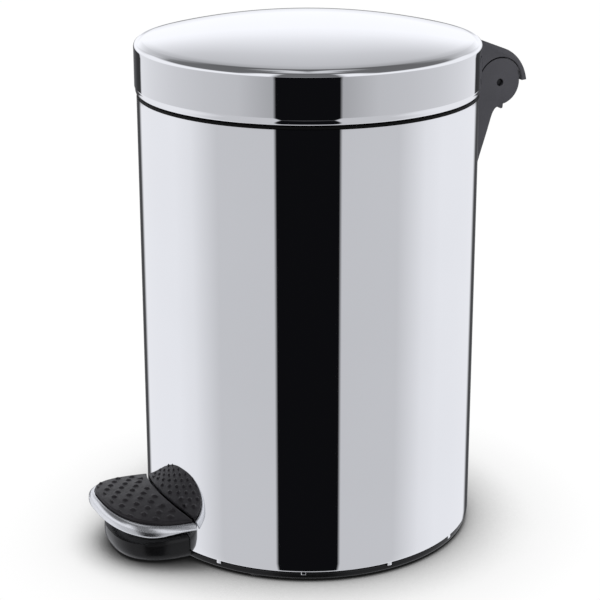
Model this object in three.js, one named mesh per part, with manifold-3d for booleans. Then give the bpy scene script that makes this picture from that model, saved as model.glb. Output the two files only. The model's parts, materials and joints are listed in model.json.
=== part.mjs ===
// Pedal bin, about twelve litres: a round stainless steel body on a black plastic base, a domed steel
// lid on a rear hinge, a lift-out bucket with a bail handle, and a pedal whose lever raises a rod
// that turns the lid's crank.
//
// Millimetres, +Z up. The origin is on the floor, on the axis of the round body. The pedal points
// towards -Y and the lid hinge is at +Y.

import * as THREE from 'three';
import { mergeVertices } from 'three/addons/utils/BufferGeometryUtils.js';
import Module from 'manifold-3d';

const wasm = await Module();
wasm.setup();

// ---------- driving dimensions ----------

const CLEARANCE = 0.3;              // gap between touching pieces
const REACH = 176;                  // pedal tip and hinge hood both stand this far from the axis

const BODY_R = 125;                 // outside of the steel shell
const SHEET = 1;                    // steel sheet
const SHELL_BOTTOM = 7.5;           // curled lower edge of the shell, above the floor
const SHELL_TOP = 334;
const TAB_COUNT = 12;               // crimped tabs that hold the base, less the one at the pedal

const RING_TOP = 341;               // top of the trim ring's upstand
const RIM_VISIBLE_TOP = 336.3;      // top of the trim ring's visible flange
const LEDGE_TOP = 329.5;            // inner ledge that carries the bucket
const LEDGE_INNER_R = 113;

const LID_R = 126.4;                // outside of the lid's skirt
const LID_BOTTOM = 336.8;
const LID_SHOULDER = 370;           // where the skirt turns into the rounded shoulder
const LID_CREASE = 373.4;           // where the shoulder meets the dome
const LID_TOP = 389;
const LINER_FLOOR = 364;            // underside of the liner's disc

const PIN_Y = 149.2;                // hinge pin, behind the body
const PIN_Z = 331.8;
const PIN_R = 2.5;
const DISC_R = 18.4;                // round cheek of the hinge bracket
const HINGE_HALF_WIDTH = 26;
const CHEEK = 4;                    // thickness of a cheek
const FOOT_BOTTOM = 242;            // lower end of the hinge bracket

const LID_OPENING = THREE.MathUtils.degToRad(78);
const CRANK_R = 37;                 // hinge pin to crank pin
const CRANK_PIN_R = 2;
const CRANK_HALF_GAP = 5.5;         // inside of each crank arm
const CRANK_THICKNESS = 3.5;
const CRANK_SLOT = 10.5;            // half width of the slot that the crank passes through

const ROD_Y = 115;                  // lift rod, inside the rear wall
const ROD_R = 2.5;
const ROD_BOTTOM = 6.5;

const PIVOT_Y = -108;               // pedal pivot, just inside the front wall
const PIVOT_Z = 32;
const PIVOT_R = 2.5;
const LEVER_THICKNESS = 3;
const LEVER_HALF_WIDTH = 8;

const PAD_HALF_WIDTH = 45.8;
const PAD_CENTRE = 124;             // widest point of the pad, from the axis
const PAD_LENGTH = 47.2;            // from there to the tip
const PAD_TOP = 40.2;               // top of the pad on its centre line, at the body wall
const PAD_CROWN_R = 211;            // the pad is crowned across its width
const PAD_SLOPE = 0.077;            // and rises towards its tip
const PAD_THICKNESS = 4;
const PAD_GAP = 2.2;                // between the pad and the body wall
const TRAY_RIM = REACH - PAD_CENTRE - PAD_LENGTH;
const TRAY_DEPTH = 10.5;

const BASE_BOTTOM = 1.8;            // underside of the base ring, on its feet
const BASE_TOP = 7.2;
const HOUSING_WALL = 2.4;
const FOOT_COUNT = 4;
const FOOT_R = 6;

const BUCKET_TOP_R = 110;
const BUCKET_BOTTOM_R = 104;
const BUCKET_WALL = 1.8;
const BUCKET_FLOOR = 62;
const BUCKET_FLANGE_R = 118;
const BUCKET_FLANGE = 2;            // thickness of the flange
const CHANNEL_HALF_WIDTH = 14;      // rod channel down the back of the bucket
const CHANNEL_Y = 105.5;
const BAIL_R = 115.3;
const BAIL_WIRE_R = 1.8;
const GRIP_R = 3.4;

const ROUND = 48;                   // facets round the large pieces
const SMALL = 16;                   // facets round the small ones

// ---------- materials ----------

function finish(color, roughness, metalness) {
  return new THREE.MeshStandardMaterial({ color, roughness, metalness });
}

const MIRROR_STEEL = finish(0xd6d8dc, 0.08, 1);
const CHROME = finish(0xdfe2e6, 0.12, 1);
const PLAIN_STEEL = finish(0x9a9ca0, 0.4, 1);
const BLACK_PLASTIC = finish(0x161618, 0.35, 0);
const GREY_PLASTIC = finish(0x47464b, 0.55, 0);
const BUCKET_PLASTIC = finish(0x2a2a2c, 0.5, 0);
const RUBBER = finish(0x2b292c, 0.75, 0);

// ---------- solids ----------

function signedVolume(positions, indices) {
  const a = new THREE.Vector3();
  const b = new THREE.Vector3();
  const c = new THREE.Vector3();
  let sum = 0;
  for (let i = 0; i < indices.length; i += 3) {
    a.fromArray(positions, indices[i] * 3);
    b.fromArray(positions, indices[i + 1] * 3);
    c.fromArray(positions, indices[i + 2] * 3);
    sum += a.dot(b.cross(c));
  }
  return sum / 6;
}

// Closed three.js geometry to a solid, with its faces turned outwards.
function solid(geometry) {
  const bare = geometry.clone();
  bare.deleteAttribute('normal');
  bare.deleteAttribute('uv');
  const merged = mergeVertices(bare, 1e-4);
  const vertProperties = new Float32Array(merged.attributes.position.array);
  const triVerts = new Uint32Array(merged.index.array);
  if (signedVolume(vertProperties, triVerts) < 0) {
    for (let i = 0; i < triVerts.length; i += 3) {
      [triVerts[i], triVerts[i + 1]] = [triVerts[i + 1], triVerts[i]];
    }
  }
  return new wasm.Manifold(new wasm.Mesh({ numProp: 3, vertProperties, triVerts }));
}

function geometryOf(body) {
  const { vertProperties, triVerts } = body.getMesh();
  const geometry = new THREE.BufferGeometry();
  geometry.setAttribute('position', new THREE.BufferAttribute(new Float32Array(vertProperties), 3));
  geometry.setIndex(new THREE.BufferAttribute(new Uint32Array(triVerts), 1));
  geometry.computeVertexNormals();
  return geometry;
}

function joined(...bodies) {
  return bodies.reduce((sum, body) => sum.add(body));
}

// Ring or disc turned about Z from a closed profile of [radius, height] points.
function turned(profile, facets = ROUND) {
  const points = [...profile, profile[0]].map(([r, z]) => new THREE.Vector2(r, z));
  return solid(new THREE.LatheGeometry(points, facets).rotateX(Math.PI / 2));
}

function disc(radius, low, high, facets = ROUND) {
  return turned([[0, low], [radius, low], [radius, high], [0, high]], facets);
}

function tubeRing(inner, outer, low, high, facets = ROUND) {
  return turned([[inner, low], [outer, low], [outer, high], [inner, high]], facets);
}

function outline(points) {
  return new THREE.Shape(points.map(([u, v]) => new THREE.Vector2(u, v)));
}

// Prism along Z from an outline of [x, y] points.
function prismZ(points, low, high) {
  const geometry = new THREE.ExtrudeGeometry(outline(points), { depth: high - low, bevelEnabled: false });
  return solid(geometry.translate(0, 0, low));
}

// Prism along X from an outline of [y, z] points.
function prismX(points, left, right) {
  const geometry = new THREE.ExtrudeGeometry(outline(points), { depth: right - left, bevelEnabled: false });
  geometry.translate(0, 0, left);
  const turn = new THREE.Matrix4().makeBasis(
    new THREE.Vector3(0, 1, 0), new THREE.Vector3(0, 0, 1), new THREE.Vector3(1, 0, 0));
  return solid(geometry.applyMatrix4(turn));
}

function box(xs, ys, zs) {
  const geometry = new THREE.BoxGeometry(xs[1] - xs[0], ys[1] - ys[0], zs[1] - zs[0]);
  const middle = ([low, high]) => (low + high) / 2;
  return solid(geometry.translate(middle(xs), middle(ys), middle(zs)));
}

// Points of an arc about [u, v], from one angle to another, in degrees.
function arc(u, v, radius, from, to, steps) {
  return Array.from({ length: steps + 1 }, (_, i) => {
    const angle = THREE.MathUtils.degToRad(from + (to - from) * i / steps);
    return [u + radius * Math.cos(angle), v + radius * Math.sin(angle)];
  });
}

function rodX(y, z, radius, left, right, facets = SMALL) {
  return prismX(arc(y, z, radius, 0, 360, facets).slice(0, -1), left, right);
}

function rodZ(x, y, radius, low, high, facets = SMALL) {
  return prismZ(arc(x, y, radius, 0, 360, facets).slice(0, -1), low, high);
}

const part = new THREE.Group();

function place(name, body, material) {
  const mesh = new THREE.Mesh(geometryOf(body), material);
  mesh.name = name;
  part.add(mesh);
}

// ---------- body shell and rims ----------

// Rolled sheet with a curl at its lower edge, a window for the pedal lever, a slot for the lid's
// crank, screw holes for the hinge bracket, and the tabs crimped over the base.
function outerShell() {
  const inner = BODY_R - SHEET;
  const curl = 1.6;
  const profile = [
    [inner, SHELL_TOP], [BODY_R, SHELL_TOP], [BODY_R, SHELL_BOTTOM + curl],
    [BODY_R - 0.4, SHELL_BOTTOM + 0.4], [BODY_R - 1.1, SHELL_BOTTOM],
    [inner - 0.3, SHELL_BOTTOM], [inner - 0.3, SHELL_BOTTOM + SHEET], [inner, SHELL_BOTTOM + curl],
  ];
  const leverWindow = box([-9.5, 9.5], [-BODY_R - 2, -BODY_R + 6], [26.4, 36.5]);
  const crankSlot = box([-CRANK_SLOT, CRANK_SLOT], [BODY_R - 8, BODY_R + 2], [298, SHELL_TOP + 1]);
  let shell = turned(profile).subtract(leverWindow).subtract(crankSlot);
  for (const [x, z] of bracketScrewPlaces()) {
    shell = shell.subtract(screwHole(x, z, 2.2));
  }
  const tab = box([-2.2, 2.2], [-BODY_R + 0.1, -BODY_R + 0.8], [SHELL_BOTTOM - 2.2, SHELL_BOTTOM + 1.2]);
  for (let i = 1; i < TAB_COUNT; i++) {
    shell = shell.add(tab.rotate([0, 0, i * 360 / TAB_COUNT + 2]));
  }
  return shell;
}

// Black ring pressed into the top of the shell: a visible flange under the lid, an upstand that
// locates the lid, and a ledge inside that carries the bucket.
function trimRing() {
  const inner = BODY_R - SHEET - CLEARANCE;
  const ring = turned([
    [BODY_R, SHELL_TOP + CLEARANCE], [BODY_R, RIM_VISIBLE_TOP - 0.6], [BODY_R - 0.6, RIM_VISIBLE_TOP],
    [123, RIM_VISIBLE_TOP], [123, RING_TOP - 0.8], [122.2, RING_TOP], [120, RING_TOP],
    [119.4, RING_TOP - 0.6], [119.4, LEDGE_TOP], [LEDGE_INNER_R, LEDGE_TOP],
    [LEDGE_INNER_R, LEDGE_TOP - 2.2], [119.4, LEDGE_TOP - 4.5], [119.4, LEDGE_TOP - 9],
    [inner, LEDGE_TOP - 9], [inner, SHELL_TOP + CLEARANCE],
  ]);
  return ring.subtract(box([-CRANK_SLOT, CRANK_SLOT], [100, 130], [310, 350]));
}

// ---------- base ----------

// Half outline of the pedal housing at one height: straight in from the body, rounded at its nose.
function housingOutline(halfWidth, nose) {
  const start = BODY_R - 8;
  const steps = 16;
  const points = [[-halfWidth, -start + 10], [halfWidth, -start + 10]];
  for (let i = 0; i <= steps; i++) {
    const angle = Math.PI * i / steps;
    const x = halfWidth * Math.sign(Math.cos(angle)) * Math.abs(Math.cos(angle)) ** 0.8;
    const y = -start - (nose - start) * Math.abs(Math.sin(angle)) ** 0.8;
    points.push([x, y]);
  }
  return points;
}

// Bowl-shaped nose lofted through level outlines given as [height, half width, nose].
function housingLoft(levels) {
  const rings = levels.map(([z, halfWidth, nose]) =>
    housingOutline(halfWidth, nose).map(([x, y]) => [x, y, z]));
  const count = rings[0].length;
  const positions = rings.flat(2);
  const indices = [];
  for (let level = 0; level + 1 < rings.length; level++) {
    for (let i = 0; i < count; i++) {
      const next = (i + 1) % count;
      const [a, b] = [level * count + i, level * count + next];
      indices.push(a, a + count, b, b, a + count, b + count);
    }
  }
  for (let i = 1; i + 1 < count; i++) {
    const top = (rings.length - 1) * count;
    indices.push(0, i, i + 1);
    indices.push(top, top + i + 1, top + i);
  }
  const geometry = new THREE.BufferGeometry();
  geometry.setAttribute('position', new THREE.Float32BufferAttribute(positions, 3));
  geometry.setIndex(indices);
  return solid(geometry);
}

const HOUSING_LEVELS = [
  [BASE_BOTTOM, 33, 155], [5, 38.5, 161], [10, 41.5, 165], [16, 41.5, 165.5],
  [19, 40, 159], [22, 35, 147], [24, 28, 136], [25, 20, 127],
];

// Ring under the shell with the pedal housing moulded on its front. The housing is open below.
function baseRing() {
  const ring = turned([
    [110, BASE_BOTTOM], [121.6, BASE_BOTTOM], [123.4, BASE_BOTTOM + 0.8], [123.8, 4],
    [123.4, 6], [122.4, BASE_TOP], [122.4, 16], [120.4, 16], [120.4, 3.8], [110, 3.8],
  ]);
  const inside = HOUSING_LEVELS.map(([z, halfWidth, nose]) =>
    [z - HOUSING_WALL, halfWidth - HOUSING_WALL, nose - HOUSING_WALL]);
  inside.unshift([-1, inside[0][1], inside[0][2]]);
  const housing = housingLoft(HOUSING_LEVELS)
    .subtract(housingLoft(inside).subtract(disc(BODY_R - 1, -2, 30)))
    .subtract(disc(BODY_R + 0.4, BASE_TOP, 40))
    .subtract(disc(121, -2, 40));
  const leverNotch = box([-10, 10], [105, 124], [5.4, 20]).intersect(disc(122.4, 5, 21));
  return ring.subtract(leverNotch).add(housing);
}

function basePlate() {
  return disc(120, 4.1, 5.3);
}

function rubberFoot(angle) {
  return rodZ(0, -115.5, FOOT_R, 0, BASE_BOTTOM - CLEARANCE).rotate([0, 0, angle]);
}

// ---------- pedal bracket and pivot ----------

function pedalBracket() {
  const low = 5.6;
  const ear = prismX([
    [PIVOT_Y - 8, low], [PIVOT_Y + 12, low], ...arc(PIVOT_Y, PIVOT_Z, 6, 0, 180, 10),
  ], 10.5, 12.5);
  const web = box([-12.5, 12.5], [PIVOT_Y - 8, PIVOT_Y + 12], [low, low + 2]);
  const bore = rodX(PIVOT_Y, PIVOT_Z, PIVOT_R + CLEARANCE, -20, 20);
  return joined(ear, ear.mirror([1, 0, 0]), web).subtract(bore);
}

// ---------- pedal ----------

// Rounded outline of the pedal, [x, y], for a rim that stands out by some amount.
function pedalOutline(out, gap) {
  const halfWidth = PAD_HALF_WIDTH + out;
  const length = PAD_LENGTH + out;
  const wall = BODY_R + gap;
  const steps = 26;
  const points = [];
  for (let i = 0; i <= steps; i++) {
    const angle = Math.PI * i / steps;
    const c = Math.cos(angle);
    const s = Math.abs(Math.sin(angle));
    points.push([halfWidth * Math.sign(c) * Math.abs(c) ** 0.8, -PAD_CENTRE - length * s ** 0.8]);
  }
  const side = Math.asin((halfWidth - 0.5) / wall) * 180 / Math.PI;
  return [...points, ...arc(0, 0, wall, -90 - side, -90 + side, 8)];
}

// Slab whose top follows the pad's crown and slope, between two depths below it.
function crownedSlab(top, bottom) {
  const steps = 12;
  const half = 60;
  const across = Array.from({ length: steps + 1 }, (_, i) => -half + 2 * half * i / steps);
  const drop = (x) => -x * x / (2 * PAD_CROWN_R);
  const section = [
    ...across.map((x) => [x, drop(x) + bottom]),
    ...across.reverse().map((x) => [x, drop(x) + top]),
  ];
  const near = 90;
  const geometry = new THREE.ExtrudeGeometry(outline(section), { depth: 100, bevelEnabled: false });
  const shear = new THREE.Matrix4().set(
    1, 0, 0, 0,
    0, 0, -1, -near,
    0, 1, PAD_SLOPE, PAD_TOP + PAD_SLOPE * (near - BODY_R),
    0, 0, 0, 1);
  return solid(geometry.applyMatrix4(shear));
}

function pedalLayer(out, gap, top, bottom) {
  return crownedSlab(top, bottom).intersect(prismZ(pedalOutline(out, gap), 0, 60));
}

function pedalPad() {
  return pedalLayer(0, PAD_GAP, 0, -PAD_THICKNESS);
}

const TRAY_FLOOR = -PAD_THICKNESS - CLEARANCE;

// Pressed steel tray: a rounded rim round the pad, a floor under it, and a skirt that gets
// shallower towards the body.
function pedalTray() {
  const rim = pedalLayer(TRAY_RIM, PAD_GAP + 0.2, -0.8, -TRAY_DEPTH);
  const pocket = pedalLayer(0.4, -4, 5, TRAY_FLOOR);
  const under = pedalLayer(TRAY_RIM - 1.6, -4, TRAY_FLOOR - 1.4, -30);
  const relief = prismX([[-112, 10], [-112, 35.4], [-129, 32.6], [-142, 25], [-142, 10]], -70, 70);
  return rim.subtract(pocket).subtract(under).subtract(relief.subtract(crownedSlab(0, TRAY_FLOOR - 1.4)));
}

const LEVER_TOP = PAD_TOP + TRAY_FLOOR - 1.4 - CLEARANCE;
const ROD_TRAVEL = 2 * CRANK_R * Math.sin(LID_OPENING / 2);
const LEVER_END_Z = PIVOT_Z - ROD_TRAVEL / 2;

// Steel strip from under the tray, round the pivot pin, and down to the foot of the lift rod.
function pedalLever() {
  const slope = (y) => PAD_SLOPE * (-y - BODY_R);
  const endY = ROD_Y + 6;
  const half = LEVER_THICKNESS / 2;
  const fall = (PIVOT_Z - LEVER_END_Z) / (ROD_Y - PIVOT_Y);
  const beamAt = (y) => PIVOT_Z - fall * (y - PIVOT_Y);
  const strip = prismX([
    [-163, LEVER_TOP + slope(-163)], [-163, LEVER_TOP - LEVER_THICKNESS + slope(-163)],
    [-121, LEVER_TOP - LEVER_THICKNESS + slope(-121)], [PIVOT_Y, PIVOT_Z - half],
    [endY, beamAt(endY) - half], [endY, beamAt(endY) + half],
    [PIVOT_Y, PIVOT_Z + half], [-121, LEVER_TOP + slope(-121)],
  ], -LEVER_HALF_WIDTH, LEVER_HALF_WIDTH);
  const barrel = rodX(PIVOT_Y, PIVOT_Z, PIVOT_R + 2.4, -LEVER_HALF_WIDTH, LEVER_HALF_WIDTH);
  const bore = rodX(PIVOT_Y, PIVOT_Z, PIVOT_R + CLEARANCE, -20, 20);
  const rodHole = rodZ(0, ROD_Y, ROD_R + 1.4, -10, 30);
  return strip.add(barrel).subtract(bore).subtract(rodHole);
}

function pedalRivet(y) {
  const low = LEVER_TOP - LEVER_THICKNESS + PAD_SLOPE * (-y - BODY_R) - CLEARANCE - 0.1;
  return rodZ(0, y, 3.2, low - 1.4, low, 14);
}

// ---------- lift rod ----------

const CRANK_PIN_Y = PIN_Y - CRANK_R * Math.cos(LID_OPENING / 2);
const CRANK_PIN_Z = PIN_Z - CRANK_R * Math.sin(LID_OPENING / 2);
const ROD_HEAD_LOW = CRANK_PIN_Z - 14;

function liftRod() {
  return rodZ(0, ROD_Y, ROD_R, ROD_BOTTOM, ROD_HEAD_LOW + 6 - CLEARANCE);
}

// Plastic fork on top of the rod. The crank pin slides in its slot, which is open to the rear.
function rodHead() {
  const slot = CRANK_PIN_R + 1.1;
  const back = PIN_Y - CRANK_R - CRANK_PIN_R - 0.5;
  const front = back - 2.6;
  const body = prismX([
    [front, CRANK_PIN_Z + 6.5], [front, CRANK_PIN_Z - 6.5], [ROD_Y - 4.5, ROD_HEAD_LOW],
    [ROD_Y + 4.5, ROD_HEAD_LOW], [122.6, CRANK_PIN_Z - 6.5], [122.6, CRANK_PIN_Z - slot],
    [back, CRANK_PIN_Z - slot], [back, CRANK_PIN_Z + slot], [122.6, CRANK_PIN_Z + slot],
    [122.6, CRANK_PIN_Z + 6.5],
  ], -4.5, 4.5);
  return body.subtract(rodZ(0, ROD_Y, ROD_R + CLEARANCE, 0, ROD_HEAD_LOW + 6));
}

// Collar that the lever pushes up.
function rodCollar() {
  const low = LEVER_END_Z + LEVER_THICKNESS / 2 + 1;
  return rodZ(0, ROD_Y, 5.5, low, low + 4).subtract(rodZ(0, ROD_Y, ROD_R + CLEARANCE, 0, 40));
}

// Clip inside the rear wall that keeps the rod upright.
function rodGuide(z) {
  const reach = BODY_R - SHEET - CLEARANCE;
  const block = box([-8, 8], [ROD_Y - 6, reach + 4], [z - 5, z + 5]).intersect(disc(reach, z - 6, z + 6));
  const mouth = box([-1.6, 1.6], [ROD_Y - 8, ROD_Y], [z - 6, z + 6]);
  return block.subtract(rodZ(0, ROD_Y, ROD_R + 0.5, z - 6, z + 6)).subtract(mouth);
}

// ---------- hinge ----------

function bracketScrewPlaces() {
  return [[-15, 258], [15, 258], [-15, 288], [15, 288]];
}

function screwHole(x, z, radius) {
  const hole = prismZ(arc(0, 0, radius, 0, 360, 12).slice(0, -1), 100, 140).rotate([-90, 0, 0]);
  return hole.translate([x, 0, z]);
}

// Side outline of the bracket, [y, z]: a round cheek on a foot that tapers down the shell. The
// cheek steps in below the hood, and a small nose under it stops the open lid.
function bracketOutline() {
  return [
    [118, FOOT_BOTTOM], [118, 331], [127, 333.2], ...arc(PIN_Y, PIN_Z, DISC_R, 172, 28, 14),
    ...arc(PIN_Y, PIN_Z, DISC_R - 1.4, 26, -79, 9),
    [PIN_Y + 3.0, 312.6], [PIN_Y + 2.5, 311.8], [PIN_Y + 1.6, 311.7], [PIN_Y - 0.2, 313.4],
    [PIN_Y - 2.8, 312.9], [143.6, 309.2], [142.2, 305.5], [138.7, 294.7], [133.1, 277.8], [123.4, 246],
    [122.9, FOOT_BOTTOM],
  ];
}

function hingeBracket() {
  const side = bracketOutline();
  const cheek = prismX(side, HINGE_HALF_WIDTH - CHEEK, HINGE_HALF_WIDTH);
  const core = prismX(side, -HINGE_HALF_WIDTH + 1, HINGE_HALF_WIDTH - 1);
  const wall = 3;
  const hollow = prismX([
    [127.5, 252], [127.5, 360], [175, 360], [175, 316.8], [PIN_Y - 2, 316.8], [141, 312],
    [139.2, 305.5], [135.7, 294.7], [130.1, 277.8], [127.9, 262],
  ], -HINGE_HALF_WIDTH + CHEEK, HINGE_HALF_WIDTH - CHEEK);
  const aboveWall = box([-HINGE_HALF_WIDTH + CHEEK, HINGE_HALF_WIDTH - CHEEK], [110, 135], [300, 360]);
  const stop = box([-HINGE_HALF_WIDTH + CHEEK, HINGE_HALF_WIDTH - CHEEK], [140, 180], [300, 360]);
  const middle = core.subtract(hollow).subtract(aboveWall).subtract(stop);
  let bracket = joined(cheek, cheek.mirror([1, 0, 0]), middle);
  bracket = bracket.subtract(disc(BODY_R + CLEARANCE, 200, 360));
  bracket = bracket.subtract(rodX(PIN_Y, PIN_Z, PIN_R + 0.2, -40, 40));
  for (const [x, z] of bracketScrewPlaces()) {
    const inWall = box([-30, 30], [100, BODY_R + wall], [200, 340]);
    bracket = bracket.subtract(screwHole(x, z, 1.8).intersect(inWall));
  }
  return bracket;
}

function hingePin() {
  return rodX(PIN_Y, PIN_Z, PIN_R, -HINGE_HALF_WIDTH + 1.5, HINGE_HALF_WIDTH - 1.5);
}

// Curved steel plate inside the shell that the bracket is screwed to.
function backingPlate() {
  const outer = BODY_R - SHEET - CLEARANCE;
  let plate = tubeRing(outer - 1.5, outer, 248, 296).intersect(box([-22, 22], [90, 140], [240, 300]));
  for (const [x, z] of bracketScrewPlaces()) {
    plate = plate.subtract(screwHole(x, z, 2.2));
  }
  return plate;
}

function bracketScrew(x, z) {
  const wall = Math.sqrt((BODY_R - SHEET - CLEARANCE - 1.5) ** 2 - x * x);
  const shaft = prismZ(arc(0, 0, 1.5, 0, 360, 12).slice(0, -1), wall - 3, BODY_R + 1.6);
  const head = prismZ(arc(0, 0, 3.4, 0, 360, 12).slice(0, -1), wall - 3, wall - 0.9);
  return shaft.add(head).rotate([-90, 0, 0]).translate([x, 0, z]);
}

// ---------- lid ----------

const DOME_R = ((LID_R - 4) ** 2 + (LID_TOP - LID_CREASE) ** 2) / (2 * (LID_TOP - LID_CREASE));

// Points down the dome from its top to the crease, moved in by some thickness.
function domePoints(radius, thickness, steps) {
  const centre = LID_TOP - DOME_R;
  return Array.from({ length: steps + 1 }, (_, i) => {
    const r = radius * i / steps;
    return [r, centre + Math.sqrt((DOME_R - thickness) ** 2 - r * r)];
  });
}

function lidShell() {
  const outside = [
    ...domePoints(LID_R - 4, 0, 5), [LID_R - 1.6, LID_CREASE - 0.8], [LID_R - 0.3, LID_SHOULDER],
    [LID_R, 354], [LID_R - 0.4, LID_BOTTOM + 1], [LID_R - 1.2, LID_BOTTOM],
  ];
  const inside = [
    [LID_R - 1.8, LID_BOTTOM + 0.6], [LID_R - SHEET - 0.1, LID_BOTTOM + 2], [LID_R - SHEET, 354],
    [LID_R - SHEET - 0.4, LID_SHOULDER - 1], ...domePoints(LID_R - 5, SHEET, 3).reverse(),
  ];
  let shell = turned([...outside, ...inside]);
  for (const [x, z] of lidScrewPlaces()) {
    shell = shell.subtract(screwHole(x, z, 1.8));
  }
  return shell;
}

// Black inner lid: a disc under the dome and a wall inside the skirt.
function lidLiner() {
  const wallOuter = LID_R - SHEET - 0.4 - CLEARANCE;
  let liner = turned([
    [0, LINER_FLOOR], [wallOuter - 4, LINER_FLOOR],
    [wallOuter - 1.6, LINER_FLOOR - 2.4], [wallOuter - 1.6, 343.4],
    [wallOuter, 343.4], [wallOuter, LINER_FLOOR], [wallOuter - 3, LINER_FLOOR + 1.8], [0, LINER_FLOOR + 1.8],
  ]);
  for (const [x, z] of lidScrewPlaces()) {
    liner = liner.subtract(screwHole(x, z, 1.8));
  }
  return liner;
}

function lidScrewPlaces() {
  return [[-14, 352], [14, 352]];
}

function lidScrew(x, z) {
  const wall = Math.sqrt((LID_R - SHEET - 0.4 - CLEARANCE - 1.6) ** 2 - x * x);
  const shaft = prismZ(arc(0, 0, 1.4, 0, 360, 12).slice(0, -1), wall - 2.6, LID_R + 2);
  const head = prismZ(arc(0, 0, 3, 0, 360, 12).slice(0, -1), wall - 2.6, wall - 0.8);
  return shaft.add(head).rotate([-90, 0, 0]).translate([x, 0, z]);
}

function lidBumper(angle) {
  return box([-5, 5], [-124.2, -120.4], [RING_TOP + CLEARANCE, 343.1]).rotate([0, 0, angle]);
}

// Top line of the hood, [y, z], from the lid's skirt to its rear tip.
function hoodTop() {
  return [
    [PIN_Y - 27, PIN_Z + 37.6], [PIN_Y - 23, PIN_Z + 36.6],
    [PIN_Y - 12.8, PIN_Z + 32.3], [PIN_Y - 1, PIN_Z + 27.4],
    [PIN_Y + 6.9, PIN_Z + 24.4], [PIN_Y + 13.3, PIN_Z + 20.6], [PIN_Y + 19.6, PIN_Z + 14.3],
    [PIN_Y + 24.6, PIN_Z + 7.2], [REACH, PIN_Z + 0.6],
  ];
}

// Hood on the back of the lid. Its sides are flush with the bracket's cheeks and curl round them.
// Inside it, two lugs take the hinge pin, and two crank arms reach through the shell to the crank pin.
function hingeArm() {
  const inner = DISC_R + 0.6;
  const bore = arc(PIN_Y, PIN_Z, inner, 0, 165, 14);
  const left = PIN_Y - 27;
  const profile = [
    ...hoodTop().reverse(), [left, 338.6], [PIN_Y - inner - 1.8, 337.6], ...bore.slice().reverse(),
  ];
  const side = prismX(profile, -HINGE_HALF_WIDTH, HINGE_HALF_WIDTH);
  const cavity = prismX([
    [PIN_Y - 30, 330], [PIN_Y - 30, PIN_Z + 32], [PIN_Y - 12.8, PIN_Z + 28.6], [PIN_Y - 1, PIN_Z + 24],
    [PIN_Y + 6.9, PIN_Z + 21.6], ...arc(PIN_Y, PIN_Z, inner + 0.4, 50, 0, 6), [PIN_Y + 10, 330],
  ], -HINGE_HALF_WIDTH + CHEEK, HINGE_HALF_WIDTH - CHEEK);
  const lugOuter = HINGE_HALF_WIDTH - CHEEK - 0.6;
  const lug = prismX([
    [PIN_Y - 7, PIN_Z + 29], ...arc(PIN_Y, PIN_Z, 7.5, 180, 360, 12), [PIN_Y + 7.5, PIN_Z + 22.6],
  ], lugOuter - 4, lugOuter);
  const crank = crankArm();
  const bridge = prismX(arc(PIN_Y, PIN_Z, 6.2, 0, 360, SMALL).slice(0, -1), -lugOuter + 1, lugOuter - 1);
  const flange = box([-HINGE_HALF_WIDTH + 1, HINGE_HALF_WIDTH - 1], [118, 129.4], [339.4, 367.6]);
  const lugs = joined(lug, lug.mirror([1, 0, 0]));
  const cranks = joined(crank, crank.mirror([1, 0, 0]));
  let arm = joined(side.subtract(cavity), lugs, bridge, cranks, flange);
  arm = arm.subtract(disc(LID_R + CLEARANCE, 330, 400));
  arm = arm.subtract(rodX(PIN_Y, PIN_Z, PIN_R + 0.2, -40, 40));
  arm = arm.subtract(rodX(CRANK_PIN_Y, CRANK_PIN_Z, CRANK_PIN_R + CLEARANCE, -40, 40));
  for (const [x, z] of lidScrewPlaces()) {
    const hole = screwHole(x, z, 1.7).intersect(box([-30, 30], [100, LID_R + 2.4], [330, 380]));
    arm = arm.subtract(hole);
  }
  return arm;
}

function crankArm() {
  const along = new THREE.Vector2(CRANK_PIN_Y - PIN_Y, CRANK_PIN_Z - PIN_Z).normalize();
  const half = 3.6;
  const offset = [-along.y * half, along.x * half];
  const points = [
    [PIN_Y + offset[0], PIN_Z + offset[1]],
    [CRANK_PIN_Y + offset[0], CRANK_PIN_Z + offset[1]],
    [CRANK_PIN_Y - offset[0], CRANK_PIN_Z - offset[1]],
    [PIN_Y - offset[0], PIN_Z - offset[1]],
  ];
  const bar = prismX(points, CRANK_HALF_GAP, CRANK_HALF_GAP + CRANK_THICKNESS);
  return bar.add(rodX(CRANK_PIN_Y, CRANK_PIN_Z, half, CRANK_HALF_GAP, CRANK_HALF_GAP + CRANK_THICKNESS, 16));
}

function crankPin() {
  const reach = CRANK_HALF_GAP + CRANK_THICKNESS;
  return rodX(CRANK_PIN_Y, CRANK_PIN_Z, CRANK_PIN_R, -reach, reach, 16);
}

// ---------- bucket ----------

const FLANGE_LOW = LEDGE_TOP + CLEARANCE;
const FLANGE_HIGH = FLANGE_LOW + BUCKET_FLANGE;
const BAIL_Z = FLANGE_HIGH + GRIP_R + CLEARANCE;

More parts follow.
